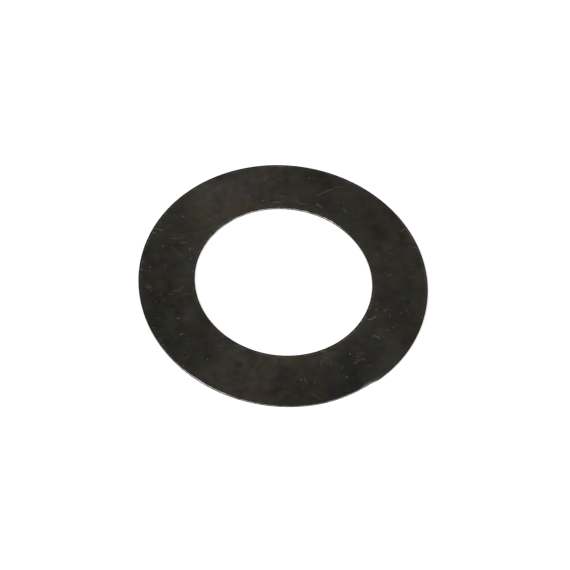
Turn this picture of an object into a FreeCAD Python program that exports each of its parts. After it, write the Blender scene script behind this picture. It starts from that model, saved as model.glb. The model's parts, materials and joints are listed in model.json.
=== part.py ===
import FreeCAD, Part

import math
import os

import Sketcher

# Flat shim ring, blanked from thin dark steel strip.
#
# Millimetres and degrees, +Z up. The ring lies on its underside, and the origin is where the
# bore's axis meets the plane of the underside.
#
# One stroke of the tool shears the rim and the bore, so both edges have the same form. From the
# top face down it is a corner drawn over by the tool, a smooth land at the full size, a torn zone
# that falls back from the land, and a corner broken by tumbling. The rim also has a shallow
# bruise, where it stands inside its circle: abrupt at one end, and running out at the other.

NODE = "shim_ring"

SIZES = (
    ("bore_diameter", 38.0, "hole, across its smooth land"),
    ("ring_width", 12.0, "from the bore's land out to the rim's"),
    ("thickness", 0.6, "gauge of the strip, from face to face"),
    ("rollover_width", 0.08, "drawn-over corner, from the land in to the flat face"),
    ("rollover_drop", 0.05, "drawn-over corner, from the top face down to the land"),
    ("land_height", 0.24, "smooth sheared land, along the axis"),
    ("tear_setback", 0.02, "how far the torn zone has fallen back at its foot"),
    ("corner_break", 0.03, "leg of the broken corner round the underside"),
    ("bruise_depth", 0.32, "how far the rim has gone back at the bruise's abrupt end"),
    ("bruise_bearing", 48.5, "degrees from +X round towards -Y to the abrupt end"),
    ("bruise_sweep", 27.0, "degrees from the abrupt end on to where its cut leaves the ring"),
    ("bruise_runout", 0.05, "how far outside the rim the cut is by then"),
    ("bruise_ramp", 8.0, "degrees from the abrupt end back to the start of its ramp"),
    ("bruise_clearance", 0.6, "how far outside the rim the ramp starts"),
)

# How a sketch numbers the ends of an edge, and its own origin and horizontal axis
START = 1
END = 2
CENTRE = 3
ORIGIN = (-1, 1)
HORIZONTAL_AXIS = -1

# The radii of the bore's land and the rim's, as expressions on the sheet
BORE_RADIUS = "sizes.bore_diameter / 2"
RIM_RADIUS = f"{BORE_RADIUS} + sizes.ring_width"

# The section's edges, anticlockwise from the underside
(
    UNDERSIDE,
    RIM_BREAK,
    RIM_TEAR,
    RIM_LAND,
    RIM_ROLLOVER,
    TOP,
    BORE_ROLLOVER,
    BORE_LAND,
    BORE_TEAR,
    BORE_BREAK,
) = range(10)

# The bruise's edges, anticlockwise from where its cut leaves the ring
WORN_ARC, RAMP, CLEAR_ARC, RUNOUT = range(4)


def make_sheet(document):
    """The driving dimensions, a row each: name, value, meaning."""
    sheet = document.addObject("Spreadsheet::Sheet", "sizes")
    for row, (alias, value, meaning) in enumerate(SIZES, start=1):
        sheet.set(f"A{row}", alias)
        sheet.set(f"B{row}", str(value))
        sheet.set(f"C{row}", meaning)
        sheet.setAlias(f"B{row}", alias)
    document.recompute()
    return sheet


def origin_plane(body, role):
    """One of the body's own origin planes, such as XY_Plane."""
    for feature in body.Origin.OriginFeatures:
        if feature.Role == role:
            return feature
    raise ValueError(f"no origin plane {role}")


def new_sketch(body, name, role):
    """An empty sketch on one of the body's origin planes."""
    sketch = body.newObject("Sketcher::SketchObject", name)
    sketch.AttachmentSupport = [(origin_plane(body, role), "")]
    sketch.MapMode = "FlatFace"
    return sketch


def drive(sketch, name, kind, first, second, expression):
    """Names the distance from the first place to the second, and binds it to the sheet."""
    start, end = sketch.getPoint(*first), sketch.getPoint(*second)
    value = end.x - start.x if kind == "DistanceX" else end.y - start.y
    index = sketch.addConstraint(Sketcher.Constraint(kind, *first, *second, value))
    sketch.renameConstraint(index, name)
    sketch.setExpression(f"Constraints.{name}", expression)


def land_radii(sheet):
    """The radii of the bore's land and the rim's."""
    bore = sheet.bore_diameter / 2
    return bore, bore + sheet.ring_width


def flat(x, y):
    """A point in a sketch's plane."""
    return FreeCAD.Vector(x, y, 0)


def rolled_arc(first, face, last):
    """The drawn-over corner from first to last. It leaves the flat face, at face, tangentially."""
    land = last if first is face else first
    width = land.x - face.x
    drop = face.y - land.y
    radius = (width**2 + drop**2) / (2 * drop)
    centre = face - flat(0, radius)
    outward = (first + last) / 2 - centre
    return Part.Arc(first, centre + outward.normalize() * radius, last)


def draw_section(sketch, sheet):
    """The ring's section: ten edges, joined end to start, with the two rollovers tangent to the top."""
    bore, rim = land_radii(sheet)
    back = sheet.tear_setback
    corner = sheet.corner_break
    top = sheet.thickness
    land_top = top - sheet.rollover_drop
    land_foot = land_top - sheet.land_height
    corners = [
        flat(bore + back + corner, 0),
        flat(rim - back - corner, 0),
        flat(rim - back, corner),
        flat(rim, land_foot),
        flat(rim, land_top),
        flat(rim - sheet.rollover_width, top),
        flat(bore + sheet.rollover_width, top),
        flat(bore, land_top),
        flat(bore, land_foot),
        flat(bore + back, corner),
    ]
    for edge, (first, last) in enumerate(zip(corners, corners[1:] + corners[:1])):
        if edge == RIM_ROLLOVER:
            sketch.addGeometry(rolled_arc(first, last, last))
        elif edge == BORE_ROLLOVER:
            sketch.addGeometry(rolled_arc(first, first, last))
        else:
            sketch.addGeometry(Part.LineSegment(first, last))
    for edge in range(len(corners)):
        following = (edge + 1) % len(corners)
        kind = "Tangent" if TOP in (edge, following) else "Coincident"
        sketch.addConstraint(Sketcher.Constraint(kind, edge, END, following, START))
    for edge in (UNDERSIDE, TOP):
        sketch.addConstraint(Sketcher.Constraint("Horizontal", edge))
    for edge in (RIM_LAND, BORE_LAND):
        sketch.addConstraint(Sketcher.Constraint("Vertical", edge))


def dimension_section(sketch):
    """Binds every size of the section to the sheet."""
    sketch.addConstraint(Sketcher.Constraint("PointOnObject", UNDERSIDE, START, HORIZONTAL_AXIS))
    drive(sketch, "gauge", "DistanceY", ORIGIN, (TOP, START), "sizes.thickness")
    drive(sketch, "rim_radius", "DistanceX", ORIGIN, (RIM_LAND, START), RIM_RADIUS)
    drive(sketch, "bore_radius", "DistanceX", ORIGIN, (BORE_LAND, START), BORE_RADIUS)
    # Each edge's places run along X towards its land or away from it, and always upward
    edges = {
        "rim": {
            "across": ((RIM_ROLLOVER, END), (RIM_ROLLOVER, START)),
            "drop": ((RIM_ROLLOVER, START), (RIM_ROLLOVER, END)),
            "land": ((RIM_LAND, START), (RIM_LAND, END)),
            "setback": ((RIM_TEAR, START), (RIM_TEAR, END)),
            "broken": ((RIM_BREAK, START), (RIM_BREAK, END)),
            "rise": ((RIM_BREAK, START), (RIM_BREAK, END)),
        },
        "bore": {
            "across": ((BORE_ROLLOVER, END), (BORE_ROLLOVER, START)),
            "drop": ((BORE_ROLLOVER, END), (BORE_ROLLOVER, START)),
            "land": ((BORE_LAND, END), (BORE_LAND, START)),
            "setback": ((BORE_TEAR, START), (BORE_TEAR, END)),
            "broken": ((BORE_BREAK, START), (BORE_BREAK, END)),
            "rise": ((BORE_BREAK, END), (BORE_BREAK, START)),
        },
    }
    for side, places in edges.items():
        drive(sketch, f"{side}_across", "DistanceX", *places["across"], "sizes.rollover_width")
        drive(sketch, f"{side}_drop", "DistanceY", *places["drop"], "sizes.rollover_drop")
        drive(sketch, f"{side}_land", "DistanceY", *places["land"], "sizes.land_height")
        drive(sketch, f"{side}_setback", "DistanceX", *places["setback"], "sizes.tear_setback")
        drive(sketch, f"{side}_broken", "DistanceX", *places["broken"], "sizes.corner_break")
        drive(sketch, f"{side}_rise", "DistanceY", *places["rise"], "sizes.corner_break")


def add_ring(body, sheet):
    """The section turned once round the bore's axis."""
    section = new_sketch(body, "section", "XZ_Plane")
    draw_section(section, sheet)
    dimension_section(section)
    ring = body.newObject("PartDesign::Revolution", "ring")
    ring.Profile = section
    ring.ReferenceAxis = (section, ["V_Axis"])
    ring.Angle = 360
    return ring


def polar(radius, bearing):
    """The point at this radius, with its bearing in degrees from +X round towards -Y."""
    angle = -math.radians(bearing)
    return flat(radius * math.cos(angle), radius * math.sin(angle))


def drive_polar(sketch, name, place, radius, bearing):
    """Binds a point's place to a radius and a bearing, each an expression on the sheet."""
    drive(sketch, f"{name}_x", "DistanceX", ORIGIN, place, f"({radius}) * cos(({bearing}) * 1 deg)")
    drive(sketch, f"{name}_y", "DistanceY", ORIGIN, place, f"-({radius}) * sin(({bearing}) * 1 deg)")


def draw_bruise(sketch, sheet):
    """What the bruise takes off the rim, seen from above: two arcs joined by the ramp and the run-out."""
    _, rim = land_radii(sheet)
    abrupt = sheet.bruise_bearing
    far = abrupt + sheet.bruise_sweep
    near = abrupt - sheet.bruise_ramp
    clear = rim + sheet.bruise_clearance
    foot = polar(rim - sheet.bruise_depth, abrupt)
    leaving = polar(rim + sheet.bruise_runout, far)
    halfway = polar(rim - (sheet.bruise_depth - sheet.bruise_runout) / 2, (abrupt + far) / 2)
    outer_far = polar(clear, far)
    outer_near = polar(clear, near)
    sketch.addGeometry(Part.Arc(leaving, halfway, foot))
    sketch.addGeometry(Part.LineSegment(foot, outer_near))
    sketch.addGeometry(Part.Arc(outer_far, polar(clear, (near + far) / 2), outer_near))
    sketch.addGeometry(Part.LineSegment(outer_far, leaving))
    for first, second in (
        ((WORN_ARC, END), (RAMP, START)),
        ((RAMP, END), (CLEAR_ARC, END)),
        ((CLEAR_ARC, START), (RUNOUT, START)),
        ((RUNOUT, END), (WORN_ARC, START)),
    ):
        sketch.addConstraint(Sketcher.Constraint("Coincident", *first, *second))
    sketch.addConstraint(Sketcher.Constraint("Coincident", CLEAR_ARC, CENTRE, *ORIGIN))


def dimension_bruise(sketch):
    """Binds the bruise's corners to the rim, and gives its worn arc the rim's own radius."""
    clear = f"{RIM_RADIUS} + sizes.bruise_clearance"
    far = "sizes.bruise_bearing + sizes.bruise_sweep"
    near = "sizes.bruise_bearing - sizes.bruise_ramp"
    drive_polar(sketch, "foot", (RAMP, START), f"{RIM_RADIUS} - sizes.bruise_depth", "sizes.bruise_bearing")
    drive_polar(sketch, "leaving", (RUNOUT, END), f"{RIM_RADIUS} + sizes.bruise_runout", far)
    drive_polar(sketch, "outer_near", (RAMP, END), clear, near)
    drive(sketch, "outer_far_x", "DistanceX", ORIGIN, (RUNOUT, START), f"({clear}) * cos(({far}) * 1 deg)")
    radius = sketch.Geometry[WORN_ARC].Radius
    index = sketch.addConstraint(Sketcher.Constraint("Radius", WORN_ARC, radius))
    sketch.renameConstraint(index, "worn_radius")
    sketch.setExpression("Constraints.worn_radius", RIM_RADIUS)


def add_bruise(body, sheet):
    """Cuts the bruise down through the rim."""
    outline = new_sketch(body, "bruise_outline", "XY_Plane")
    draw_bruise(outline, sheet)
    dimension_bruise(outline)
    bruise = body.newObject("PartDesign::Pocket", "bruise")
    bruise.Profile = outline
    bruise.Type = "ThroughAll"
    bruise.Reversed = True
    return bruise


def check(document, body, ring):
    """Stops if a feature has failed, the ring isn't one sound solid, or the bruise cut nothing."""
    for thing in document.Objects:
        if "Invalid" in thing.State or "Error" in thing.State:
            raise RuntimeError(f"{thing.Name} has failed: {thing.State}")
    shape = body.Shape
    if shape.isNull() or not shape.isValid() or len(shape.Solids) != 1:
        raise RuntimeError("the ring isn't one valid solid")
    if shape.Volume >= ring.Shape.Volume:
        raise RuntimeError("the bruise has cut nothing")


def main():
    document = FreeCAD.newDocument(NODE)
    sheet = make_sheet(document)
    body = document.addObject("PartDesign::Body", NODE)
    body.Label = NODE
    body.AllowCompound = False
    body.Placement = FreeCAD.Placement()
    ring = add_ring(body, sheet)
    document.recompute()
    body.Tip = add_bruise(body, sheet)
    document.recompute()
    check(document, body, ring)
    os.makedirs("parts", exist_ok=True)
    body.Shape.exportStep(f"parts/{NODE}.step")
    print(f"{NODE}: {body.Shape.Volume:.2f} mm3, {len(body.Shape.Faces)} faces")


main()
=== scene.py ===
import json
import math
import random

import bpy
from mathutils import Matrix, Vector, noise
from mathutils.geometry import delaunay_2d_cdt


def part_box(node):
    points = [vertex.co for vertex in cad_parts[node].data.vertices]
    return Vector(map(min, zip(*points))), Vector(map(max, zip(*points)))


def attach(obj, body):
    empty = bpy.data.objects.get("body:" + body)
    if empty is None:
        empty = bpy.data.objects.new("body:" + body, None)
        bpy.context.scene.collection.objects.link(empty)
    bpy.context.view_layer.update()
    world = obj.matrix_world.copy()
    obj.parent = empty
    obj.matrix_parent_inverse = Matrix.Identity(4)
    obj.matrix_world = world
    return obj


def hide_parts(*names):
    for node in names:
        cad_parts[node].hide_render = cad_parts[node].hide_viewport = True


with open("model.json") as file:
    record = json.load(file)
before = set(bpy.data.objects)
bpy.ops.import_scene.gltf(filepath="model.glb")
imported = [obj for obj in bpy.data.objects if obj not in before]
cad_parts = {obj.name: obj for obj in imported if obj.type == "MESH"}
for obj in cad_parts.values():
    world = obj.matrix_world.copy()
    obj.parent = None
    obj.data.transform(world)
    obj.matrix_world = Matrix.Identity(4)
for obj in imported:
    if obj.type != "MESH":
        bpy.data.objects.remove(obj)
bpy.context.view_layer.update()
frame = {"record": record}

# The ring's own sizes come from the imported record, in metres
MM = 0.001
NODE = "shim_ring"
MOUNTS = {mount["name"]: mount for mount in frame["record"]["mounts"]}
RIM = MOUNTS["rim"]["dims"]["r_mm"] * MM
BORE = MOUNTS["bore"]["dims"]["r_mm"] * MM
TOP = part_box(NODE)[1][2]

# The sheared edge, from the top face down
ROLLOVER_WIDTH = 0.08 * MM
ROLLOVER_DROP = 0.05 * MM
LAND_HEIGHT = 0.24 * MM
TEAR_SETBACK = 0.02 * MM
CORNER_BREAK = 0.03 * MM

# How uneven that edge is along its length: the land's foot is wavy and ragged, and the torn zone is chipped
LAND_WAVE = 0.03 * MM
LAND_WAVE_PITCH = 0.9 * MM
LAND_RAGGED = 0.02 * MM
LAND_RAGGED_PITCH = 0.25 * MM
CHIP_DEPTH = 0.012 * MM
CHIP_PITCH = 0.14 * MM

# The bruise in the rim. Bearings run from +X round towards -Y, in degrees. The rim steps in along a straight
# ramp to the bruise's bearing, and comes back to its circle along an arc of the rim's own radius
BRUISE_DEPTH = 0.32 * MM
BRUISE_BEARING = 48.5
BRUISE_SWEEP = 27.0
BRUISE_RUNOUT = 0.05 * MM
BRUISE_RAMP = 8.0
BRUISE_CLEARANCE = 0.6 * MM

# The photograph's view: its width in pixels, the pixel that the ring's origin falls on, and the camera.
# PIXEL is the width that one pixel covers at the ring
PICTURE = 570
ORIGIN_PIXEL = (283.65, 280.9)
CAMERA_DISTANCE = 345.6 * MM
CAMERA_ELEVATION = math.radians(55.88)
CAMERA_ROLL = math.radians(6.58)
CLIP_START = 10 * MM
LENS = 101.9
SENSOR = 36.0
PIXEL = 0.214 * MM

# How finely the ring is divided. Points of a face that are nearer than WELD, in millimetres, become one
STEPS_ROUND = 1440
ROLLOVER_STEPS = 4
LAND_STEPS = 2
TEAR_STEPS = 5
FACE_GRID = 0.9 * MM
WELD = 1e-6
SHARP_ANGLE = math.radians(40)

# The material slots of the ring's mesh, and the slot of each band of an edge, from the top face down
FACE, LAND, TEAR = range(3)
EDGE_SLOTS = [FACE] * ROLLOVER_STEPS + [LAND] * LAND_STEPS + [TEAR] * (TEAR_STEPS + 1)

# Rows of points beside each edge, on both faces
BAND_ROWS = tuple(row * MM for row in (0.08, 0.16, 0.25, 0.35, 0.46, 0.6))
BAND = BAND_ROWS[-1]

# The dark line along each edge, partly darker oxide and partly painted shade on the drawn-over corner and the
# face beside it: its tone, how wide it is, and the pitch at which it varies on the drawn-over corner.
# EDGE_SEED starts that pattern apart from the land's. The lip's tone is what the corner's tone gains where
# its painted glint is full
EDGE_TONE = 0.38
EDGE_LINE = 0.2 * MM
EDGE_PITCH = 0.6 * MM
EDGE_SEED = 30
LIP_GLINT_TONE = (34, 38, 47)

# The line of painted glints inside the dark one: how far in it lies, its width, what a face's tone gains
# there, and the pitch, share and strength of its patches
GLINT_LINE = 0.3 * MM
GLINT_WIDTH = 0.13 * MM
GLINT_TONE = (0.9, 1.1, 1.35)
GLINT_PITCH = 0.5 * MM
GLINT_SHARE = 0.12
GLINT_GAIN = 4.5

# How bright the sheared edges are round the ring, from 0 to 1: bearing, drawn-over corner, land and torn
# zone.
# The land is bright steel and the torn zone dull, but their rise and fall round the ring is painted light:
# glints on the corner, a highlight on the land and shade on the torn zone below it, strongest where the walls
# face the front left
RIM_PAINTED_LIGHT = (
    (0, 0, 0.04, 0.03), (14, 0, 0.05, 0.03), (24, 0, 0.06, 0.04), (36, 0, 0.08, 0.05),
    (42, 0, 0.16, 0.08), (52, 0, 0.26, 0.14), (60, 0, 0.2, 0.1), (70, 0, 0.16, 0.08),
    (84, 0, 0.18, 0.07), (97, 0.05, 0.24, 0.04), (104, 0.15, 0.28, 0.02), (106, 0.2, 0.26, 0.02),
    (108, 0.55, 0.28, 0.02), (110, 0.35, 0.26, 0.02), (113, 0.65, 0.26, 0.02), (115, 0.4, 0.24, 0.02),
    (118, 0.75, 0.3, 0.02), (121, 0.5, 0.28, 0.02), (124, 0.3, 0.24, 0.02), (129, 0.15, 0.2, 0.02),
    (134, 0.05, 0.16, 0.03), (142, 0, 0.12, 0.05), (162, 0, 0.1, 0.06), (172, 0, 0.1, 0.06),
    (200, 0, 0.2, 0.14), (330, 0, 0.2, 0.14), (352, 0, 0.06, 0.04), (360, 0, 0.04, 0.03),
)
BORE_PAINTED_LIGHT = (
    (0, 0, 0.1, 0.06), (168, 0, 0.18, 0.1), (178, 0, 0.25, 0.14), (187, 0, 0.45, 0.24),
    (198, 0, 0.35, 0.2), (222, 0, 0.38, 0.22), (245, 0, 0.42, 0.22), (262, 0, 0.34, 0.16),
    (276, 0, 0.34, 0.08), (283, 0, 0.46, 0.03), (291, 0, 0.46, 0.02), (294, 0.15, 0.65, 0.02),
    (296, 0, 0.42, 0.02), (298, 0.3, 0.9, 0.02), (300, 0, 0.36, 0.02), (303, 0, 0.26, 0.02),
    (305, 0.05, 0.42, 0.02), (307, 0, 0.16, 0.03), (313, 0, 0.1, 0.03), (324, 0, 0.06, 0.04),
    (350, 0, 0.06, 0.04), (360, 0, 0.1, 0.06),
)

# Broad patches of the top face, partly the steel's own uneven tone and partly painted sheen that makes the
# face
# lighter on the left than on the right: pixel, radius in pixels, and the change of its red, green and blue
# tone
TONE_AND_SHEEN_PATCHES = (
    ((214, 200), 30, (0.38, 0.34, 0.33)),
    ((238, 188), 28, (0.26, 0.24, 0.23)),
    ((226, 212), 22, (0.24, 0.20, 0.19)),
    ((204, 185), 16, (1.14, 1.16, 1.18)),
    ((226, 176), 14, (0.32, 0.38, 0.32)),
    ((240, 172), 11, (0.34, 0.46, 0.32)),
    ((219, 195), 16, (0.36, 0.36, 0.34)),
    ((258, 196), 24, (0.17, 0.13, 0.15)),
    ((264, 168), 17, (0.66, 0.60, 0.84)),
    ((285, 195), 26, (0.13, 0.10, 0.12)),
    ((273, 205), 12, (0.84, 0.80, 0.96)),
    ((299, 207), 10, (0.34, 0.29, 0.31)),
    ((343, 225), 10, (0.16, 0.12, 0.20)),
    ((363, 247), 10, (0.23, 0.36, 0.34)),
    ((189, 234), 10, (0.20, 0.16, 0.14)),
    ((201, 245), 9, (0.16, 0.12, 0.14)),
    ((151, 273), 12, (0.24, 0.22, 0.30)),
    ((179, 264), 10, (-0.28, -0.28, -0.28)),
    ((160, 298), 10, (0.40, 0.36, 0.30)),
    ((303, 396), 9, (0.38, 0.32, 0.34)),
    ((327, 398), 8, (-0.25, -0.20, -0.24)),
    ((178, 236), 16, (0.16, 0.10, 0.09)),
    ((252, 381), 28, (0.44, 0.38, 0.36)),
    ((234, 374), 24, (0.44, 0.44, 0.48)),
    ((240, 386), 15, (0.66, 0.66, 0.68)),
    ((252, 354), 15, (1.12, 1.08, 1.26)),
    ((275, 362), 18, (0.46, 0.48, 0.44)),
    ((320, 356), 14, (0.30, 0.34, 0.42)),
    ((306, 357), 10, (0.34, 0.32, 0.42)),
    ((335, 347), 11, (0.34, 0.46, 0.54)),
    ((300, 382), 24, (0.00, -0.05, -0.04)),
    ((353, 369), 23, (-0.24, -0.19, -0.07)),
    ((343, 387), 14, (-0.16, -0.13, -0.08)),
    ((356, 387), 9, (-0.38, -0.35, -0.34)),
    ((159, 312), 24, (-0.16, -0.13, -0.12)),
    ((178, 311), 13, (0.72, 0.70, 0.76)),
    ((168, 338), 18, (-0.12, -0.09, -0.09)),
    ((152, 257), 14, (-0.10, -0.07, -0.09)),
    ((166, 284), 22, (-0.05, 0.00, -0.01)),
    ((190, 270), 8, (0.12, 0.14, 0.14)),
    ((384, 237), 16, (-0.15, -0.18, -0.22)),
    ((380, 234), 10, (-0.35, -0.37, -0.50)),
    ((406, 234), 14, (0.62, 0.66, 0.42)),
    ((366, 221), 14, (-0.12, -0.15, -0.14)),
    ((386, 208), 12, (0.58, 0.58, 0.41)),
    ((356, 191), 14, (0.40, 0.35, 0.30)),
    ((329, 207), 11, (-0.34, -0.26, -0.25)),
    ((374, 272), 14, (0.46, 0.50, 0.58)),
    ((375, 290), 9, (0.20, 0.27, 0.09)),
    ((354, 332), 10, (0.30, 0.30, 0.18)),
    ((407, 287), 12, (-0.27, -0.23, -0.35)),
    ((402, 311), 19, (-0.46, -0.41, -0.47)),
    ((396, 327), 16, (-0.18, -0.16, -0.18)),
    ((402, 337), 18, (-0.02, 0.00, -0.10)),
    ((312, 180), 13, (-0.38, -0.30, -0.42)),
    ((344, 186), 13, (0.05, 0.08, 0.06)),
    ((395, 261), 15, (0.08, 0.02, 0.00)),
    ((208, 347), 6, (0.10, -0.06, -0.04)),
    ((221, 346), 7, (-0.08, 0.04, 0.08)),
    ((318, 379), 10, (-0.12, -0.16, -0.19)),
    ((210, 381), 11, (0.10, 0.09, 0.18)),
    ((197, 209), 10, (-0.26, -0.17, -0.04)),
    ((179, 210), 9, (-0.12, -0.16, -0.05)),
    ((268, 401), 10, (-0.16, -0.05, -0.09)),
    ((362, 372), 9, (-0.08, -0.07, -0.03)),
    ((222, 358), 9, (-0.11, -0.10, -0.13)),
    ((151, 324), 9, (0.10, 0.05, 0.09)),
    ((395, 277), 8, (-0.04, -0.06, -0.12)),
    ((296, 369), 10, (-0.14, -0.15, -0.11)),
    ((368, 353), 9, (-0.09, -0.13, -0.07)),
    ((165, 215), 9, (-0.05, -0.13, -0.12)),
)

# Both faces are a little lighter beside the bore
BORE_MARGIN = 2.2 * MM
BORE_MARGIN_TONE = 0.12

# How strong the painted glints beside each edge are, on both faces: bearing and level
RIM_GLINT = (
    (0, 0.7), (8, 0.6), (16, 0.3), (40, 0.25), (46, 0.9), (52, 0.9), (56, 0.1), (64, 0.2),
    (70, 0.4), (80, 0.3), (92, 0.5), (104, 0.3), (122, 0.3), (127, 0.6), (136, 0.4), (141, 0.5),
    (150, 0.6), (157, 0.4), (168, 0.6), (180, 1.0), (186, 0.6), (193, 0.9), (205, 1.0), (218, 0.6),
    (240, 0.3), (256, 0.4), (258, 1.6), (268, 1.6), (271, 0.4), (278, 0.3), (284, 0.8), (294, 0.8),
    (300, 0.4), (316, 0.5), (321, 0.9), (332, 0.9), (345, 1.0), (352, 0.6), (360, 0.7),
)
BORE_GLINT = (
    (0, 0.5), (10, 1.0), (35, 1.2), (62, 1.1), (75, 0.7), (98, 0.6), (104, 0.8), (118, 0.5),
    (135, 0.5), (146, 0.2), (160, 0.4), (182, 0.4), (200, 0.9), (232, 0.9), (246, 0.4), (268, 0.5),
    (284, 0.6), (300, 0.5), (312, 0.9), (318, 0.5), (345, 0.5), (360, 0.4),
)

# Marks let into the faces. MARK_DEPTH is the most that one is deep. A scratch's depth is its width times its
# slope, and it runs out over a share of its length at each end. Marks are filed by squares of MARK_CELL
MARK_DEPTH = 0.012 * MM
SCRATCH_SLOPE = 0.05
SCRATCH_RUNOUT = 0.2
DENT_SIDES = 6
MARK_CELL = 1.0 * MM

# Marks on the top face, each from one pixel of the photograph to another, with its width in pixels and its
# brightness. A negative one is dark, and where it lies beside a bright mark it is painted shadow on that
# mark's shaded side
TOP_MARKS = (
    ((314.5, 196.3), (335.5, 187.6), 0.9, 0.34),
    ((333.5, 187.5), (344, 186.6), 2.2, 0.1),
    ((270.8, 182.4), (279.5, 178.8), 1.2, 0.11),
    ((279.8, 178.8), (284.5, 183.8), 1.2, 0.09),
    ((280.5, 182.5), (285.5, 187.5), 1.4, -0.25),
    ((298.5, 186.6), (306.5, 186.4), 1.3, -0.35),
    ((269.3, 207.8), (272.8, 204), 1.3, 0.16),
    ((270.5, 202.6), (281.5, 201.8), 2.8, 0.17),
    ((279.2, 196.8), (286, 196.2), 1.6, 0.13),
    ((278.5, 194.3), (284.8, 194.3), 1.0, -0.5),
    ((281, 198), (285, 199.6), 1.2, -0.5),
    ((284.6, 199.4), (287.2, 203.2), 1.2, -0.5),
    ((291.5, 197.8), (297, 197.9), 2.0, 0.06),
    ((295, 199.5), (299.5, 203.7), 1.8, 0.1),
    ((298.3, 203.5), (306, 203.7), 1.8, 0.18),
    ((299.5, 201.7), (305, 201.5), 1.0, -0.25),
    ((315.6, 203.4), (320.2, 206.1), 1.4, 0.38),
    ((319, 205.3), (322.5, 208.5), 1.2, 0.2),
    ((315.4, 207.3), (320.4, 208.6), 1.2, -0.4),
    ((343, 206.8), (346, 213), 2.4, 0.11),
    ((323, 195.8), (326.5, 194.4), 1.2, -0.4),
    ((376, 200), (380, 203), 1.2, -0.45),
    ((344, 181), (349, 184), 1.3, 0.07),
    ((347, 180), (352, 183), 1.1, 0.08),
    ((400, 220), (403, 225), 1.4, 0.07),
    ((403, 223), (406, 224), 1.2, 0.14),
)
LEFT_MARKS = (
    ((154.6, 228.2), (158.8, 229.3), 1.3, 0.28),
    ((158, 229), (163.6, 231.1), 1.2, 0.3),
    ((156.5, 227.3), (162, 228.1), 1.0, -0.5),
    ((155.2, 230.2), (160.8, 231.6), 1.2, -0.6),
    ((157, 225.2), (160.4, 226.2), 1.6, 0.1),
    ((151.6, 232.4), (156.4, 233.3), 2.0, 0.3),
    ((152.6, 235.2), (156.8, 235.6), 1.3, -0.9),
    ((158.6, 221.6), (162.5, 224.6), 1.2, 0.14),
    ((171.2, 238.4), (180.2, 238.8), 1.0, 0.26),
    ((179, 238.8), (183.8, 235.5), 1.4, 0.07),
    ((178, 242.7), (189.5, 242.5), 1.0, 0.22),
    ((190, 232.8), (197.4, 234.1), 1.8, 0.05),
    ((170.2, 246.5), (176.4, 250.3), 1.0, 0.17),
    ((175.3, 252.2), (180, 254.5), 0.9, 0.09),
    ((175.3, 254.6), (180.6, 255.5), 0.9, 0.11),
    ((179, 254.6), (185.2, 258.3), 1.1, 0.12),
    ((180.4, 253.5), (183.4, 255.5), 1.3, 0.1),
    ((146.5, 270.6), (151.6, 270.6), 1.0, 0.12),
    ((165.9, 263.4), (165.9, 268.6), 1.6, 0.09),
    ((146.2, 284.7), (152.2, 288.2), 1.0, 0.34),
    ((144.6, 286), (150.6, 289.7), 1.0, 0.3),
    ((150.4, 288.5), (152, 292.6), 1.4, 0.1),
    ((170.4, 285.3), (179, 285.3), 1.0, 0.07),
    ((170.4, 286.6), (179.2, 286.6), 1.0, -0.35),
    ((170.8, 290.8), (180.6, 290.3), 1.2, 0.14),
    ((179.5, 290.4), (184.6, 285.2), 1.3, 0.13),
    ((182, 283.8), (184.2, 283.9), 1.4, -0.5),
    ((184.6, 286.4), (188, 286.3), 1.2, -0.35),
    ((157.3, 295.4), (165, 295.2), 1.2, 0.1),
    ((166.6, 294.1), (173.4, 294), 1.4, 0.15),
    ((182, 294.1), (189, 294.1), 1.3, 0.16),
    ((186.5, 298), (194.6, 298), 1.4, -0.6),
    ((156, 318), (162.8, 318), 1.0, 0.17),
    ((176.2, 319.2), (180, 317.2), 1.2, 0.4),
    ((152, 327), (156, 328), 1.0, 0.3),
    ((179, 335.5), (184, 333), 1.1, 0.34),
    ((157, 340), (161.5, 337.2), 2.0, 0.1),
    ((157, 343), (163, 339), 2.4, 0.08),
    ((146, 246), (149, 242), 1.6, 0.14),
    ((141, 262), (145.5, 258), 1.6, 0.09),
    ((142.6, 261.2), (144.6, 263.6), 1.3, 0.2),
    ((140.8, 271.5), (143.6, 271.5), 1.2, -0.8),
)
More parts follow.
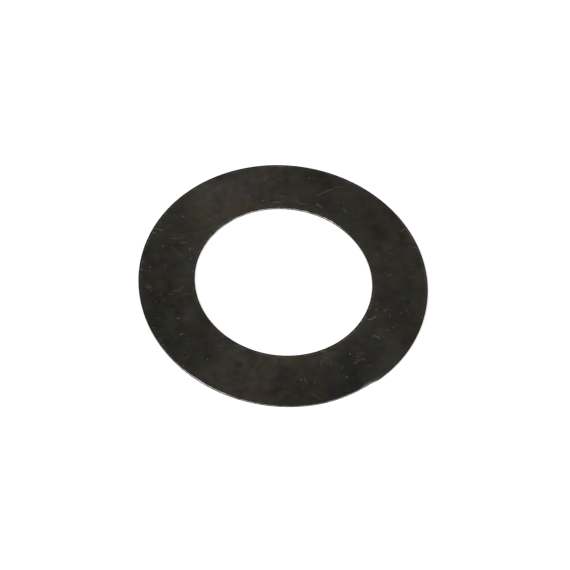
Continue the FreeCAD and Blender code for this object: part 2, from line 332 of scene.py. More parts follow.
RIGHT_MARKS = (
    ((400.2, 229.9), (403, 231.4), 1.2, 0.2),
    ((402.3, 231.3), (404.5, 227.8), 1.2, 0.24),
    ((403.4, 228.6), (408.4, 230.7), 1.2, 0.24),
    ((407.5, 230), (409.6, 234.2), 1.2, 0.14),
    ((403.2, 231), (405.8, 230.3), 1.2, -0.6),
    ((412.2, 246.7), (418, 248.8), 1.2, 0.36),
    ((406.5, 246.4), (412.5, 246.6), 1.2, 0.1),
    ((374.8, 254.9), (381.2, 253.5), 1.1, 0.15),
    ((388, 254.7), (391.6, 252.5), 1.0, 0.11),
    ((389.4, 252.8), (394, 255.3), 1.0, 0.13),
    ((392.7, 254.9), (397.4, 253.1), 1.1, 0.13),
    ((387.4, 258.9), (391, 263), 1.3, -0.6),
    ((388.7, 262.5), (392.7, 258.4), 1.1, -0.35),
    ((387.6, 276.1), (392.4, 273.3), 1.0, 0.3),
    ((420.6, 258.6), (423, 264), 1.3, 0.15),
    ((425, 265), (425.5, 280), 1.8, 0.12),
    ((383.4, 311), (389.4, 309.1), 1.1, 0.16),
    ((385.9, 311.3), (389, 311), 1.2, -0.5),
    ((390, 312.3), (390, 318), 1.7, 0.13),
    ((391.9, 312.6), (391.9, 316.4), 1.1, -0.35),
    ((398.6, 314.1), (404.4, 311.5), 1.0, 0.18),
    ((399, 315.2), (405, 313), 1.0, -0.5),
    ((405, 308.8), (408.6, 312.8), 1.1, 0.2),
    ((403.6, 309.8), (407, 313.1), 1.1, -0.5),
    ((397.6, 298.8), (404.7, 298.8), 1.5, 0.09),
    ((366.6, 319.8), (372.6, 318.9), 1.3, 0.34),
    ((371.2, 319.4), (376.8, 315.8), 1.4, 0.38),
    ((368.6, 317.9), (373, 316.4), 1.2, -0.4),
    ((372.4, 320.6), (375.9, 318.8), 1.2, -0.7),
    ((409.8, 311.8), (409.8, 321), 1.4, 0.06),
    ((410.3, 320.6), (422.7, 320.4), 1.0, 0.14),
    ((409.4, 322), (422.2, 321.9), 1.2, -0.5),
    ((419, 317.8), (424.2, 316.9), 1.1, 0.3),
    ((375.6, 328), (378.9, 329), 1.1, 0.11),
    ((378.3, 329.2), (381.5, 330.4), 1.4, 0.11),
    ((375.6, 331.6), (378.4, 331.4), 1.0, 0.1),
    ((384.2, 329.8), (389.5, 329.6), 1.9, 0.11),
    ((391.4, 328.4), (396.7, 325), 1.2, 0.14),
    ((392, 326), (394.2, 325), 1.1, -0.5),
    ((409, 233), (413, 237), 1.2, 0.14),
    ((421.5, 267), (423, 272), 1.5, 0.12),
)
BOTTOM_MARKS = (
    ((373, 334.5), (380.8, 338.9), 2.7, 0.2),
    ((371.2, 338.7), (374.7, 334.9), 1.8, 0.12),
    ((355.6, 351.5), (360.4, 354.9), 1.6, 0.1),
    ((359.5, 354.9), (364.8, 351.2), 1.6, 0.11),
    ((356.4, 356.5), (359.6, 356.5), 1.2, 0.22),
    ((356.2, 358.8), (360.6, 360.9), 1.3, 0.26),
    ((360.3, 359.9), (366.2, 358.1), 2.7, 0.13),
    ((353.2, 363.5), (358.7, 360.9), 2.7, 0.12),
    ((358.4, 362.9), (361, 362.2), 1.2, -0.5),
    ((365.3, 365.9), (373.2, 365.9), 1.5, 0.13),
    ((339.8, 369.8), (344, 366), 2.1, 0.1),
    ((322.3, 358.3), (320.3, 367.2), 1.7, 0.11),
    ((322.3, 358.9), (329.8, 357.1), 1.7, 0.11),
    ((303.7, 376.9), (307, 382.9), 1.5, 0.13),
    ((306.4, 378), (308.6, 379.8), 1.1, -0.6),
    ((300.4, 376.2), (304, 378.2), 1.2, -0.6),
    ((305.8, 384.9), (301.4, 391.1), 1.4, 0.06),
    ((310.3, 393.5), (318, 397), 1.7, 0.09),
    ((315.8, 396.3), (324.2, 400.4), 1.1, 0.11),
    ((276, 361), (278, 361), 1.0, 0.2),
    ((361, 389), (372, 382.5), 3.8, 0.42),
    ((362, 386.5), (377, 379.5), 5.0, 0.12),
    ((338, 391.5), (347, 395), 2.0, -0.25),
    ((216, 346.5), (222, 345), 2.4, 0.08),
    ((205, 386), (212, 389), 1.0, 0.32),
    ((303.4, 355.7), (306.6, 355.5), 1.2, 0.2),
    ((309.8, 354.8), (313, 354.3), 1.2, 0.18),
    ((320.6, 351.9), (326.9, 351.1), 1.2, 0.24),
    ((334.5, 347.7), (336.5, 346.8), 1.3, 0.24),
    ((221, 336), (224, 337.4), 1.2, 0.18),
    ((234, 345), (237, 346.2), 1.2, 0.16),
    ((240, 348), (243, 349), 1.2, 0.16),
    ((224.2, 338.4), (226.8, 339.4), 1.4, -0.6),
    ((231, 343), (234, 344.2), 1.4, -0.6),
)

# Small dents in the top face: the pixel of each, its radius in pixels and its brightness. A dark one beside a
# bright one is painted shadow on the bright one's shaded side
DENTS = (
    ((309.2, 177.8), 1.0, 0.6),
    ((309.6, 179.4), 1.0, -1.0),
    ((315, 177.8), 1.3, 0.15),
    ((264.2, 183.1), 1.6, -1.0),
    ((264.5, 180.6), 1.4, 0.12),
    ((252.9, 196.4), 1.7, -1.0),
    ((310, 193.1), 1.4, 0.12),
    ((341.2, 205.6), 1.7, -1.0),
    ((320.4, 201.9), 1.3, -0.7),
    ((323.6, 204.4), 1.4, -0.8),
    ((277.9, 202.3), 1.7, 0.12),
    ((263.3, 200.4), 1.0, 0.55),
    ((263.6, 203.2), 1.1, -0.6),
    ((183, 216.4), 1.0, 0.6),
    ((183, 218.3), 1.2, -0.9),
    ((210, 219.2), 0.9, 0.6),
    ((227.5, 220.5), 1.0, 0.18),
    ((148, 240.5), 1.4, -1.0),
    ((163, 246), 1.0, 0.52),
    ((190, 248.5), 1.1, 0.55),
    ((189.9, 251.4), 1.0, 0.14),
    ((191, 258.4), 1.4, 0.26),
    ((150, 267), 1.3, 0.38),
    ((148.4, 266.4), 1.1, -0.8),
    ((142.1, 269.6), 1.3, 0.32),
    ((160.7, 278.1), 1.2, 0.08),
    ((163.3, 278.1), 1.2, -0.5),
    ((193.3, 271.2), 1.1, 0.32),
    ((193.6, 288), 1.2, 0.26),
    ((192.2, 298), 1.4, -0.6),
    ((195.6, 298.1), 1.2, 0.16),
    ((197.2, 300.9), 1.2, 0.24),
    ((153.4, 301.9), 1.6, -0.9),
    ((155.8, 301.9), 1.3, 0.16),
    ((163.2, 344.5), 1.1, 0.36),
    ((183.5, 365.5), 1.2, 0.26),
    ((185, 352), 1.0, 0.3),
    ((185, 354.6), 1.8, -1.0),
    ((207.5, 359.5), 1.2, 0.26),
    ((205.2, 357), 1.5, -0.7),
    ((269, 378), 0.8, 0.5),
    ((279.5, 361.5), 1.4, -0.8),
    ((282, 389), 1.4, -0.6),
    ((287, 389), 1.4, -0.9),
    ((300.9, 379.4), 1.2, 0.4),
    ((306.1, 381.6), 1.3, 0.14),
    ((315, 382), 1.2, 0.2),
    ((350, 353.9), 1.2, 0.44),
    ((347.1, 377.1), 1.2, 0.42),
    ((346.9, 378.7), 1.0, -0.7),
    ((344.3, 392.4), 1.6, -1.0),
    ((347.5, 392.4), 1.4, -0.8),
    ((350.4, 383), 2.6, -0.25),
    ((376.3, 309.7), 1.9, 0.2),
    ((379.4, 309.9), 1.5, -0.7),
    ((384.6, 310.5), 1.1, 0.24),
    ((392.5, 327.5), 1.1, 0.16),
    ((408.2, 302.5), 2.3, -0.9),
    ((405, 333.8), 1.4, -0.6),
    ((390, 260.8), 1.4, -0.4),
    ((408, 232.5), 1.0, 0.3),
    ((410, 235), 0.9, 0.28),
    ((376.4, 378.2), 1.1, 0.2),
    ((205.5, 240.5), 1.2, 0.24),
    ((416.9, 250.8), 1.1, 0.14),
)

# The faint marks that every handled shim has, scattered over each face. Ranges run from least to most. The
# scratches' direction has a mean and a spread, in degrees, and each mark takes one of the scores
SEED = 41
FAINT_SCRATCHES = 150
FAINT_SCRATCH_TURN = (15, 40)
FAINT_SCRATCH_LENGTH_MM = (0.4, 2.6)
FAINT_SCRATCH_WIDTH_MM = (0.08, 0.16)
FAINT_SCRATCH_DEPTH = 0.005 * MM
FAINT_SCRATCH_SCORES = (-0.15, 0.04, 0.06, 0.1)
FAINT_DENTS = 90
FAINT_DENT_RADIUS_MM = (0.08, 0.2)
FAINT_DENT_DEPTH = 0.006 * MM
FAINT_DENT_SCORES = (-0.3, -0.2, 0.08, 0.12)

# Colours of the steel in linear light, before its tone and mottling. The land is held below LAND_BRIGHTEST,
# and LAND_SCALE draws its noise out into lines down the edge
FACE_COLOUR = (0.02, 0.0177, 0.0138)
SCORED_COLOUR = (0.27, 0.25, 0.22, 1)
LAND_COLOUR = (1.0, 0.98, 0.94)
LAND_BRIGHTEST = (0.95, 0.93, 0.9)
LAND_SCALE = (1, 1, 0.05)
TORN_COLOUR = (1.0, 0.97, 0.92)

# How far noise moves the face's red, green and blue, and what it moves them from
HUE_SWING = (0.74, 0.68, 1.4)
HUE_FLOOR = (0.63, 0.66, 0.3)

# Hairlines in the face: the direction of each family in degrees, and how far its noise is moved. The noise is
# stretched one way, and they show where it rises through the range. They are a little bright and sunk in
HAIRLINES = ((15, 0), (-40, 31), (78, 57))
HAIRLINE_SCALE = (0.45, 9.0, 1.0)
HAIRLINE_RANGE = (0.66, 0.78)
HAIRLINE_SCORE = 0.03
HAIRLINE_SINK = 0.4

# The colour sockets of a Mix node
MIX_FIRST, MIX_SECOND, MIX_RESULT = 6, 7, 2

# The floor lies just under the ring. It glows for what looks straight at it, and more so far from the ring
FLOOR_HALF = 1.5
FLOOR_DROP = 0.005 * MM
FLOOR_COLOUR = (0.9, 0.9, 0.9, 1)
GLOW_DISTANCE = (0.1, 0.9)
GLOW_LEVEL = (0.4, 0.7)

# The world's level where it lights, and each lamp: name, place, size in metres and power in watts
WHITE = (1, 1, 1, 1)
WORLD_LEVEL = 0.55
LAMPS = (
    ("key", (-0.45, -0.35, 0.55), 0.35, 3.0),
    ("fill", (0.5, -0.1, 0.5), 0.5, 1.0),
)


def camera_axes():
    """The camera's right, up and back directions. It stands towards -Y, rolled anticlockwise."""
    right = Vector((1, 0, 0))
    up = Vector((0, math.sin(CAMERA_ELEVATION), math.cos(CAMERA_ELEVATION)))
    back = right.cross(up)
    turn = Matrix.Rotation(CAMERA_ROLL, 3, back)
    return turn @ right, turn @ up, back


def make_camera():
    """The photograph's camera. A small shift puts the ring's origin on its pixel."""
    right, up, back = camera_axes()
    data = bpy.data.cameras.new("camera")
    data.lens = LENS
    data.sensor_width = SENSOR
    data.shift_x = (PICTURE / 2 - ORIGIN_PIXEL[0]) / PICTURE
    data.shift_y = (ORIGIN_PIXEL[1] - PICTURE / 2) / PICTURE
    data.clip_start = CLIP_START
    camera = bpy.data.objects.new("camera", data)
    bpy.context.collection.objects.link(camera)
    camera.matrix_world = Matrix((right, up, back)).transposed().to_4x4()
    camera.location = back * CAMERA_DISTANCE
    bpy.context.scene.camera = camera


def on_face(pixel):
    """Where the line of sight through a pixel of the photograph meets the top face."""
    right, up, back = camera_axes()
    focal = LENS / SENSOR * PICTURE
    across = pixel[0] - ORIGIN_PIXEL[0]
    down = pixel[1] - ORIGIN_PIXEL[1]
    sight = right * across - up * down - back * focal
    eye = back * CAMERA_DISTANCE
    return (eye + sight * ((TOP - eye.z) / sight.z)).xy


class Shell:
    """The ring's points and faces, gathered before they become a mesh."""

    def __init__(self):
        self.points = []
        self.tones = []
        self.scores = []
        self.faces = []
        self.slots = []
        self.smooth = []

    def point(self, x, y, z, tone, score_and_shade):
        """Adds a point and returns its number. tone scales its colour; the mark level lightens it above 0 and
        darkens it below, partly as painted shadow.
        """
        self.points.append(Vector((x, y, z)))
        self.tones.extend(tone)
        self.scores.append(score_and_shade)
        return len(self.points) - 1

    def face(self, corners, slot, smooth):
        """Adds a face, whose corners are the numbers of its points."""
        self.faces.append(corners)
        self.slots.append(slot)
        self.smooth.append(smooth)

    def bridge(self, upper, lower, slot, outward):
        """Joins two loops with smooth faces. outward turns the faces of a wall away from the axis."""
        count = len(upper)
        for here in range(count):
            after = (here + 1) % count
            corners = [lower[here], lower[after], upper[after], upper[here]]
            self.face(corners if outward else corners[::-1], slot, True)

    def mesh(self, name):
        """The mesh, with each point's tone and mark level as attributes for its materials, painted light and
        shade among what they carry.
        """
        made = bpy.data.meshes.new(name)
        made.from_pydata(self.points, [], self.faces)
        made.polygons.foreach_set("material_index", self.slots)
        made.polygons.foreach_set("use_smooth", self.smooth)
        made.attributes.new("tone", "FLOAT_VECTOR", "POINT").data.foreach_set("vector", self.tones)
        made.attributes.new("score_and_shade", "FLOAT", "POINT").data.foreach_set("value", self.scores)
        made.set_sharp_from_angle(angle=SHARP_ANGLE)
        return made


def polar(radius, bearing):
    """The point at this radius and bearing, in the ring's plane."""
    angle = -math.radians(bearing)
    return Vector((radius * math.cos(angle), radius * math.sin(angle)))


def bearing_of(place):
    """The bearing of a place, from 0 to 360 degrees."""
    return -math.degrees(math.atan2(place.y, place.x)) % 360


def bruise_radius(bearing):
    """How far out the metal reaches at a bearing, by the bruise alone."""
    start = BRUISE_BEARING - BRUISE_RAMP
    end = BRUISE_BEARING + BRUISE_SWEEP
    if not start <= bearing <= end:
        return math.inf
    sight = polar(1, bearing)
    foot = polar(RIM - BRUISE_DEPTH, BRUISE_BEARING)
    if bearing < BRUISE_BEARING:
        ramp = polar(RIM + BRUISE_CLEARANCE, start) - foot
        return foot.cross(ramp) / sight.cross(ramp)
    leaving = polar(RIM + BRUISE_RUNOUT, end)
    half = (leaving - foot) / 2
    outward = Vector((-half.y, half.x)).normalized()
    if outward.dot(foot) < 0:
        outward.negate()
    centre = foot + half - outward * math.sqrt(RIM**2 - half.length_squared)
    along = sight.dot(centre)
    return along + math.sqrt(along**2 - centre.length_squared + RIM**2)


def between(rows, bearing, column=1):
    """The value of a column at a bearing, drawn straight between the ones listed."""
    for left, right in zip(rows, rows[1:]):
        if left[0] <= bearing <= right[0]:
            share = (bearing - left[0]) / (right[0] - left[0])
            return left[column] + (right[column] - left[column]) * share
    return rows[-1][column]


def ripple(angle, radius, pitch, seed):
    """A smooth random number from -1 to 1 that changes over about pitch along an edge."""
    reach = radius / pitch
    return noise.noise(Vector((reach * math.cos(angle), reach * math.sin(angle), seed)))


def edge_section(angle, radius):
    """One sheared edge at an angle: (setback from the land, height) from the top face down."""
    seed = radius / MM
    arc = (ROLLOVER_WIDTH**2 + ROLLOVER_DROP**2) / (2 * ROLLOVER_DROP)
    reach = math.asin(ROLLOVER_WIDTH / arc)
    section = []
    for step in range(ROLLOVER_STEPS):
        turn = reach * step / ROLLOVER_STEPS
        section.append((ROLLOVER_WIDTH - arc * math.sin(turn), TOP - arc * (1 - math.cos(turn))))
    land_top = TOP - ROLLOVER_DROP
    wave = LAND_WAVE * ripple(angle, radius, LAND_WAVE_PITCH, seed)
    ragged = LAND_RAGGED * ripple(angle, radius, LAND_RAGGED_PITCH, seed)
    land_foot = land_top - LAND_HEIGHT + wave + ragged
    for step in range(LAND_STEPS):
        section.append((0.0, land_top + (land_foot - land_top) * step / LAND_STEPS))
    for step in range(TEAR_STEPS + 1):
        share = step / TEAR_STEPS
        chip = CHIP_DEPTH * abs(ripple(angle, radius, CHIP_PITCH, seed + step)) if step else 0.0
        section.append((TEAR_SETBACK * share + chip, land_foot + (CORNER_BREAK - land_foot) * share))
    section.append((TEAR_SETBACK + CORNER_BREAK, 0.0))
    return section


def add_edge(shell, radius, outward, painted_light, marks):
    """Adds the rim or the bore wall, and returns the loops that bound the two flat faces."""
    inward = -1 if outward else 1
    loops = [[] for _ in range(len(EDGE_SLOTS) + 1)]
    for step in range(STEPS_ROUND):
        angle = 2 * math.pi * step / STEPS_ROUND
        bearing = -math.degrees(angle) % 360
        limit = bruise_radius(bearing) if outward else math.inf
        # The edge's painted light at this bearing: glints on the corner, a highlight on the land and shade on
        # the torn zone
        corner, land, torn = (between(painted_light, bearing, column) for column in (1, 2, 3))
        # A dark line of painted shade along the edge, partly darker oxide, with painted glints on the
        # drawn-over corner
        dark = EDGE_TONE * (1 + ripple(angle, radius, EDGE_PITCH, radius / MM + EDGE_SEED))
        lip_glint = Vector([dark] * 3) + Vector(LIP_GLINT_TONE) * corner
        tones = [[dark] * 3] + [lip_glint] * (ROLLOVER_STEPS - 1)
        tones += [[land] * 3] * LAND_STEPS + [[torn] * 3] * (TEAR_STEPS + 2)
        score_and_shade = marks.relief(polar(min(radius, limit), bearing))[1]
        for loop, (setback, height), tone in zip(loops, edge_section(angle, radius), tones):
            place = polar(min(radius + inward * setback, limit), bearing)
            loop.append(shell.point(place.x, place.y, height, tone, score_and_shade))
    for upper, lower, slot in zip(loops, loops[1:], EDGE_SLOTS):
        shell.bridge(upper, lower, slot, outward)
    return loops[0], loops[-1]


def glint_at(place, radius, row, glint_levels):
    """How much lighter a face is at a place in the line of painted glints beside its edge."""
    angle = math.atan2(place.y, place.x)
    line = math.exp(-(((row - GLINT_LINE) / GLINT_WIDTH) ** 2))
    seed = radius / MM + row / GLINT_WIDTH
    patchy = max(0.0, GLINT_SHARE + ripple(angle, radius, GLINT_PITCH, seed))
    return between(glint_levels, bearing_of(place)) * line * GLINT_GAIN * patchy


def add_band(shell, loop, inward, facing, marks, tone, glint_levels):
    """Adds the rows of points beside an edge of a flat face, and returns the loop on their far side."""
    edge = [shell.points[number] for number in loop]
    radius = edge[0].xy.length
    near = loop
    for row in BAND_ROWS:
        # The dark line of painted shade, partly darker oxide, fades out across the first rows
        dark = EDGE_TONE + (1 - EDGE_TONE) * min(row / EDGE_LINE, 1)
        far = []
        for start in edge:
            place = start.xy * (1 + inward * row / start.xy.length)
            depth, score_and_shade = marks.relief(place)
            # Painted glints in the line beside the edge
            lift = Vector((1, 1, 1)) + Vector(GLINT_TONE) * glint_at(place, radius, row, glint_levels)
            here = Vector(a * b * dark for a, b in zip(tone(place), lift))
            far.append(shell.point(place.x, place.y, start.z - facing * depth, here, score_and_shade))
        upper, lower = (far, near) if facing > 0 else (near, far)
        shell.bridge(upper, lower, FACE, inward < 0)
        near = far
    return far


class Marks:
    """Grooves and dents let into a flat face, filed by the square of the face that they touch."""

    def __init__(self):
        self.places = []
        self.edges = []
        self.squares = {}

    def place(self, spot):
        """Adds a place that the face gets a point at, and returns its number."""
        self.places.append(Vector(spot))
        return len(self.places) - 1

    def keep(self, corners, reach, share, depth, score_and_shade):
        """Files a mark. share gives how fully a place lies in it, up to 1."""
        low = [math.floor((min(corner[axis] for corner in corners) - reach) / MARK_CELL) for axis in (0, 1)]
        high = [math.floor((max(corner[axis] for corner in corners) + reach) / MARK_CELL) for axis in (0, 1)]
        for column in range(low[0], high[0] + 1):
            for row in range(low[1], high[1] + 1):
                self.squares.setdefault((column, row), []).append((share, depth, score_and_shade))

    def groove(self, start, end, width, depth, score_and_shade):
        """A scratch with a V section, which runs out at both ends."""
        along = end - start
        across = Vector((-along.y, along.x)).normalized() * width / 2
        tips = [self.place(start), self.place(end)]
        for side in (-1, 0, 1):
            bends = (SCRATCH_RUNOUT, 1 - SCRATCH_RUNOUT)
            line = [self.place(start + along * bend + side * across) for bend in bends]
            self.edges += [(tips[0], line[0]), tuple(line), (line[1], tips[1])]

        def share(place):
            offset = place - start
            run = offset.dot(along) / along.length_squared
            aside = abs(offset.dot(across)) / across.length_squared
            return min(run / SCRATCH_RUNOUT, (1 - run) / SCRATCH_RUNOUT, 1) - aside

        self.keep((start, end), width, share, depth, score_and_shade)

    def dent(self, centre, radius, depth, score_and_shade):
        """A small pit with flat sides."""
        self.place(centre)
        turns = [math.radians(360 / DENT_SIDES * corner) for corner in range(DENT_SIDES)]
        bank = [self.place(centre + radius * Vector((math.cos(turn), math.sin(turn)))) for turn in turns]
        self.edges += list(zip(bank, bank[1:] + bank[:1]))
        self.keep((centre,), radius, lambda place: 1 - (place - centre).length / radius, depth, score_and_shade)

    def relief(self, place):
        """How deep the face is at a place, and how bright the marks make it; below 0 they darken it, partly
        with painted shadow.
        """
        square = (math.floor(place.x / MARK_CELL), math.floor(place.y / MARK_CELL))
        deepest, total = 0.0, 0.0
        for share, depth, score_and_shade in self.squares.get(square, ()):
            here = share(place)
            if here > 0:
                deepest = max(deepest, depth * here)
                total += score_and_shade * here
        return deepest, max(-1.0, min(total, 1.0))


def photographed_marks(marks):
    """The marks that can be made out in the photograph."""
    for start, end, width, score_and_shade in TOP_MARKS + LEFT_MARKS + RIGHT_MARKS + BOTTOM_MARKS:
        depth = min(SCRATCH_SLOPE * width * PIXEL, MARK_DEPTH)
        marks.groove(on_face(start), on_face(end), width * PIXEL, depth, score_and_shade)
    for pixel, radius, score_and_shade in DENTS:
        marks.dent(on_face(pixel), radius * PIXEL, MARK_DEPTH, score_and_shade)


def faint_marks(marks, dice):
    """Fine scratches and dents, thrown over a face."""
    inner = BORE + BAND
    outer = RIM - BRUISE_DEPTH - BAND

    def thrown():
        return polar(math.sqrt(dice.uniform(inner**2, outer**2)), dice.uniform(0, 360))

    for _ in range(FAINT_SCRATCHES):
        start = thrown()
        turn = dice.gauss(*FAINT_SCRATCH_TURN)
        end = start + polar(dice.uniform(*FAINT_SCRATCH_LENGTH_MM) * MM, -turn)
        if inner < end.length < outer:
            score_and_shade = dice.choice(FAINT_SCRATCH_SCORES)
            width = dice.uniform(*FAINT_SCRATCH_WIDTH_MM) * MM
            marks.groove(start, end, width, FAINT_SCRATCH_DEPTH, score_and_shade)
    for _ in range(FAINT_DENTS):
        centre = thrown()
        radius = dice.uniform(*FAINT_DENT_RADIUS_MM) * MM
        marks.dent(centre, radius, FAINT_DENT_DEPTH, dice.choice(FAINT_DENT_SCORES))


def bore_tone(place):
    """The tone of a face that is lighter beside the bore."""
    away = (place.length - BORE) / BORE_MARGIN
    return Vector((1, 1, 1)) * (1 + BORE_MARGIN_TONE * math.exp(-(away**2)))


def tone_and_sheen():
    """The function that gives the broad tone of the top face at a place, painted sheen included."""
    patches = [(on_face(pixel), radius * PIXEL, Vector(change)) for pixel, radius, change in TONE_AND_SHEEN_PATCHES]

    def tone(place):
        total = bore_tone(place)
        for centre, radius, change in patches:
            away = (place - centre).length / radius
            total += change * math.exp(-(away**2))
        return total

    return tone


def grid_places(inner, outer):
    """Evenly spread places on a face, between two radii."""
    count = math.ceil(outer / FACE_GRID)
    rungs = [k * FACE_GRID for k in range(-count, count + 1)]
    spots = [Vector((x, y)) for x in rungs for y in rungs]
    return [spot for spot in spots if inner < spot.length < outer]


def fill_face(shell, outer, inner, marks, facing, tone):
    """Fills a flat face between two loops. facing is 1 for the top and -1 for the underside."""
    loops = outer + inner
    height = TOP if facing > 0 else 0.0
    hole = shell.points[inner[0]].xy.length
    circle = shell.points[outer[0]].xy.length

    def within(place):
        return hole < place.length < min(circle, bruise_radius(bearing_of(place)) - BAND)

    places = [shell.points[number].xy for number in loops]
    edges = []
    for loop, start in ((outer, 0), (inner, len(outer))):
        edges += [(start + k, start + (k + 1) % len(loop)) for k in range(len(loop))]
    kept = {}
    for number, place in enumerate(marks.places):
        if within(place):
            kept[number] = len(places)
            places.append(place)
    edges += [(kept[a], kept[b]) for a, b in marks.edges if a in kept and b in kept]
    margin = FACE_GRID / 2
    places += grid_places(hole + margin, circle - BRUISE_DEPTH - margin)

    # The face is divided in millimetres. Each place found there names the ones given that became it
    in_mm = [place / MM for place in places]
    found, _, triangles, sources, _, _ = delaunay_2d_cdt(in_mm, edges, [], 0, WELD)
    numbers = []
    for spot, source in zip(found, sources):
        known = min(source) if source else len(places)
        if known < len(loops):
            numbers.append(loops[known])
            continue
        place = spot * MM
        depth, score_and_shade = marks.relief(place)
        numbers.append(shell.point(place.x, place.y, height - facing * depth, tone(place), score_and_shade))
    for triangle in triangles:
        corners = [found[k] for k in triangle]
        if not within(sum(corners, Vector((0, 0))) * MM / 3):
            continue
        area = (corners[1] - corners[0]).cross(corners[2] - corners[0])
        ordered = [numbers[k] for k in triangle]
        shell.face(ordered if area * facing > 0 else ordered[::-1], FACE, False)


def feed(tree, made, inputs):
    """Gives each named input of a node a value, or the output that feeds it."""
    for name, value in inputs.items():
        if isinstance(value, bpy.types.NodeSocket):
            tree.links.new(value, made.inputs[name])
        else:
            made.inputs[name].default_value = value


def node(tree, kind, inputs=None, **settings):
    """Adds a shader node with its settings and inputs."""
    made = tree.nodes.new(kind)
    for name, value in settings.items():
        setattr(made, name, value)
    feed(tree, made, inputs or {})
    return made


def maths(tree, operation, first, second):
    """One sum on two numbers or outputs."""
    return node(tree, "ShaderNodeMath", {0: first, 1: second}, operation=operation).outputs[0]


def vectors(tree, operation, *inputs, output=0):
    """One sum on vectors, or on outputs that give them."""
    made = node(tree, "ShaderNodeVectorMath", dict(enumerate(inputs)), operation=operation)
    return made.outputs[output]


def scaled(tree, vector, factor):
    """A vector or colour times a number."""
    return node(tree, "ShaderNodeVectorMath", {0: vector, "Scale": factor}, operation="SCALE").outputs[0]


def blend(tree, share, first, second):
    """A colour between two, by a share from 0 to 1."""
    inputs = {"Factor": share, MIX_FIRST: first, MIX_SECOND: second}
    return node(tree, "ShaderNodeMix", inputs, data_type="RGBA").outputs[MIX_RESULT]


def cloud(tree, place, pitch, octaves, roughness=0.5, output="Fac"):
    """Fractal noise about 0.5, whose largest forms are about pitch across, in millimetres."""
    inputs = {"Vector": place, "Scale": 1 / pitch, "Detail": octaves, "Roughness": roughness}
    return node(tree, "ShaderNodeTexNoise", inputs).outputs[output]


def ranged(tree, value, source, target, kind="SMOOTHSTEP"):
    """value moved from one range to another, and held within it."""
    inputs = {"Value": value, 1: source[0], 2: source[1], 3: target[0], 4: target[1]}
    return node(tree, "ShaderNodeMapRange", inputs, interpolation_type=kind).outputs[0]


def attribute(tree, name, output="Fac"):
    """What the ring's points hold under this name, as a number or as a vector."""
    return node(tree, "ShaderNodeAttribute", attribute_name=name).outputs[output]


def bump(tree, height, strength, distance):
    """The surface's direction, tilted by a height from 0 to 1 that stands for a distance."""
    inputs = {"Strength": strength, "Distance": distance, "Height": height}
    return node(tree, "ShaderNodeBump", inputs).outputs[0]


def new_material(name):
    """A material, its tree, its shader and the place on its object in metres."""
    material = bpy.data.materials.new(name)
    material.use_nodes = True
    tree = material.node_tree
    place = node(tree, "ShaderNodeTexCoord").outputs["Object"]
    return material, tree, tree.nodes["Principled BSDF"], place


def hairlines(tree, place, turn, offset):
    """Fine short scratches that run one way: 0 on clean metal and 1 on a scratch."""
    rotation = (0, 0, math.radians(turn))
    inputs = {"Vector": place, "Location": (offset, offset, 0), "Rotation": rotation, "Scale": HAIRLINE_SCALE}
    laid = node(tree, "ShaderNodeMapping", inputs).outputs[0]
    return ranged(tree, cloud(tree, laid, pitch=1.0, octaves=1.0), HAIRLINE_RANGE, (0, 1))


def face_steel():
    """Dark rolled strip: softly mottled brown and olive, with a fine grain and bright scores."""
    material, tree, shader, place = new_material("face_steel")
    place = scaled(tree, place, 1 / MM)

    # The points' tone, which carries painted sheen, shade and glints, broad light and dark clouds, and a
    # drift of hue
    broad = cloud(tree, place, pitch=18.0, octaves=4.0, roughness=0.8)
    mottle = ranged(tree, broad, (0.25, 0.75), (0.16, 1.84), "LINEAR")
    drift = cloud(tree, place, pitch=5.1, octaves=5.0, roughness=0.7, output="Color")
    hue = vectors(tree, "MULTIPLY_ADD", drift, HUE_SWING, HUE_FLOOR)
    plain = vectors(tree, "MULTIPLY", hue, FACE_COLOUR)
    toned = vectors(tree, "MULTIPLY", plain, attribute(tree, "tone", "Vector"))
    colour = scaled(tree, toned, mottle)

    # Hairlines, and the points' mark levels, which lighten the steel above 0 and darken it below, partly with
    # painted shadow beside marks
    lines, *others = [hairlines(tree, place, turn, offset) for turn, offset in HAIRLINES]
    for other in others:
        lines = maths(tree, "MAXIMUM", lines, other)
    score_and_shade = maths(tree, "ADD", maths(tree, "MULTIPLY", lines, HAIRLINE_SCORE), attribute(tree, "score_and_shade"))
    bright = blend(tree, ranged(tree, score_and_shade, (0, 1), (0, 1), "LINEAR"), colour, SCORED_COLOUR)
    dark = ranged(tree, score_and_shade, (-1, 0), (0.1, 1), "LINEAR")

    # Gloss in small patches, over a fine grain
    small = cloud(tree, place, pitch=1.7, octaves=4.0, roughness=0.6)
    rough = ranged(tree, small, (0.3, 0.7), (0.32, 0.48))
    grain = cloud(tree, place, pitch=0.2, octaves=3.0)
    height = maths(tree, "SUBTRACT", grain, maths(tree, "MULTIPLY", lines, HAIRLINE_SINK))
    feed(tree, shader, {
        "Base Color": scaled(tree, bright, dark),
        "Metallic": 0.9,
        "Roughness": rough,
        "Normal": bump(tree, height, strength=0.15, distance=0.01 * MM),
    })
    return material


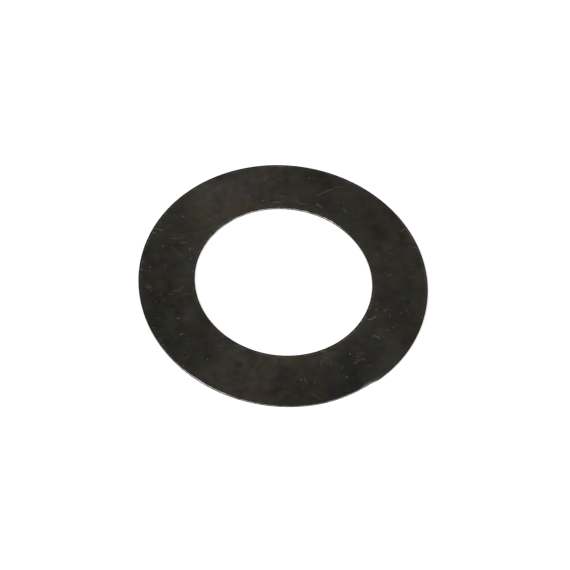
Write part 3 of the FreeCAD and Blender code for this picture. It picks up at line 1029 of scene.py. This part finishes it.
def land_steel():
    """The smooth sheared land: bright steel, with fine drag lines down it."""
    material, tree, shader, place = new_material("land_steel")
    drawn = vectors(tree, "MULTIPLY", scaled(tree, place, 1 / MM), LAND_SCALE)
    drag = ranged(tree, cloud(tree, drawn, pitch=0.12, octaves=3.0), (0.3, 0.7), (0.7, 1.3))
    broad = cloud(tree, drawn, pitch=1.3, octaves=3.0, roughness=0.7)
    stretch = ranged(tree, broad, (0.35, 0.65), (0.4, 1.7))
    # The points' tone carries the painted highlight that rises and falls round the ring
    level = maths(tree, "MULTIPLY", maths(tree, "MULTIPLY", drag, stretch), attribute(tree, "tone"))
    colour = scaled(tree, LAND_COLOUR, level)
    feed(tree, shader, {
        "Base Color": vectors(tree, "MINIMUM", colour, LAND_BRIGHTEST),
        "Metallic": 1.0,
        "Roughness": 0.28,
        "Normal": bump(tree, drag, strength=0.4, distance=0.004 * MM),
    })
    return material


def torn_steel():
    """The torn zone under the land: dull, grey and granular."""
    material, tree, shader, place = new_material("torn_steel")
    grains = cloud(tree, scaled(tree, place, 1 / MM), pitch=0.09, octaves=4.0, roughness=0.65)
    crumb = ranged(tree, grains, (0.3, 0.7), (0.5, 1.5))
    # The points' tone carries the painted shade under the land's highlight
    level = maths(tree, "MULTIPLY", crumb, attribute(tree, "tone"))
    feed(tree, shader, {
        "Base Color": scaled(tree, TORN_COLOUR, level),
        "Metallic": 0.9,
        "Roughness": 0.6,
        "Normal": bump(tree, crumb, strength=0.8, distance=0.012 * MM),
    })
    return material


def make_ring():
    """The ring as it looks, in place of the plain solid and with its form."""
    shell = Shell()
    dice = random.Random(SEED)
    top_marks = Marks()
    photographed_marks(top_marks)
    faint_marks(top_marks, dice)
    rim_top, rim_foot = add_edge(shell, RIM, True, RIM_PAINTED_LIGHT, top_marks)
    bore_top, bore_foot = add_edge(shell, BORE, False, BORE_PAINTED_LIGHT, top_marks)
    under_marks = Marks()
    faint_marks(under_marks, dice)
    for outer, inner, marks, facing, tone in (
        (rim_top, bore_top, top_marks, 1, tone_and_sheen()),
        (rim_foot, bore_foot, under_marks, -1, bore_tone),
    ):
        outer = add_band(shell, outer, -1, facing, marks, tone, RIM_GLINT)
        inner = add_band(shell, inner, 1, facing, marks, tone, BORE_GLINT)
        fill_face(shell, outer, inner, marks, facing, tone)
    ring = bpy.data.objects.new("sheared_ring", shell.mesh("sheared_ring"))
    bpy.context.collection.objects.link(ring)
    for material in (face_steel(), land_steel(), torn_steel()):
        ring.data.materials.append(material)
    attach(ring, "root")
    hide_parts(NODE)


def seen_directly(tree):
    """1 for camera, mirror-like and transmitted rays, and 0 for the rest."""
    path = node(tree, "ShaderNodeLightPath").outputs
    direct = maths(tree, "MAXIMUM", path["Is Camera Ray"], path["Is Glossy Ray"])
    return maths(tree, "MAXIMUM", direct, path["Is Transmission Ray"])


def make_floor():
    """A plain pale floor. What looks straight at it sees white, with the ring's shadow kept."""
    material, tree, shader, place = new_material("floor")
    away = vectors(tree, "LENGTH", place, output="Value")
    glow = ranged(tree, away, GLOW_DISTANCE, GLOW_LEVEL)
    feed(tree, shader, {
        "Base Color": FLOOR_COLOUR,
        "Roughness": 1.0,
        "Specular IOR Level": 0.0,
        "Emission Color": WHITE,
        "Emission Strength": maths(tree, "MULTIPLY", seen_directly(tree), glow),
    })
    mesh = bpy.data.meshes.new("floor")
    corners = [(x * FLOOR_HALF, y * FLOOR_HALF, 0) for x, y in ((-1, -1), (1, -1), (1, 1), (-1, 1))]
    mesh.from_pydata(corners, [], [(0, 1, 2, 3)])
    mesh.materials.append(material)
    floor = bpy.data.objects.new("floor", mesh)
    floor.location.z = -FLOOR_DROP
    bpy.context.collection.objects.link(floor)


def make_world():
    """White round about where it is looked at, and a plain soft level where it lights."""
    world = bpy.data.worlds.new("studio")
    bpy.context.scene.world = world
    world.use_nodes = True
    tree = world.node_tree
    level = ranged(tree, seen_directly(tree), (0, 1), (WORLD_LEVEL, 1))
    feed(tree, tree.nodes["Background"], {"Color": WHITE, "Strength": level})


def add_lamp(name, place, size, power):
    """A square soft light that faces the ring."""
    data = bpy.data.lights.new(name, "AREA")
    data.shape = "SQUARE"
    data.size = size
    data.energy = power
    lamp = bpy.data.objects.new(name, data)
    bpy.context.collection.objects.link(lamp)
    lamp.location = place
    lamp.rotation_euler = (-Vector(place)).to_track_quat("-Z", "Y").to_euler()


def main():
    """Makes the scene."""
    make_camera()
    make_ring()
    make_floor()
    make_world()
    for lamp in LAMPS:
        add_lamp(*lamp)
    bpy.context.scene.view_settings.view_transform = "Standard"


main()
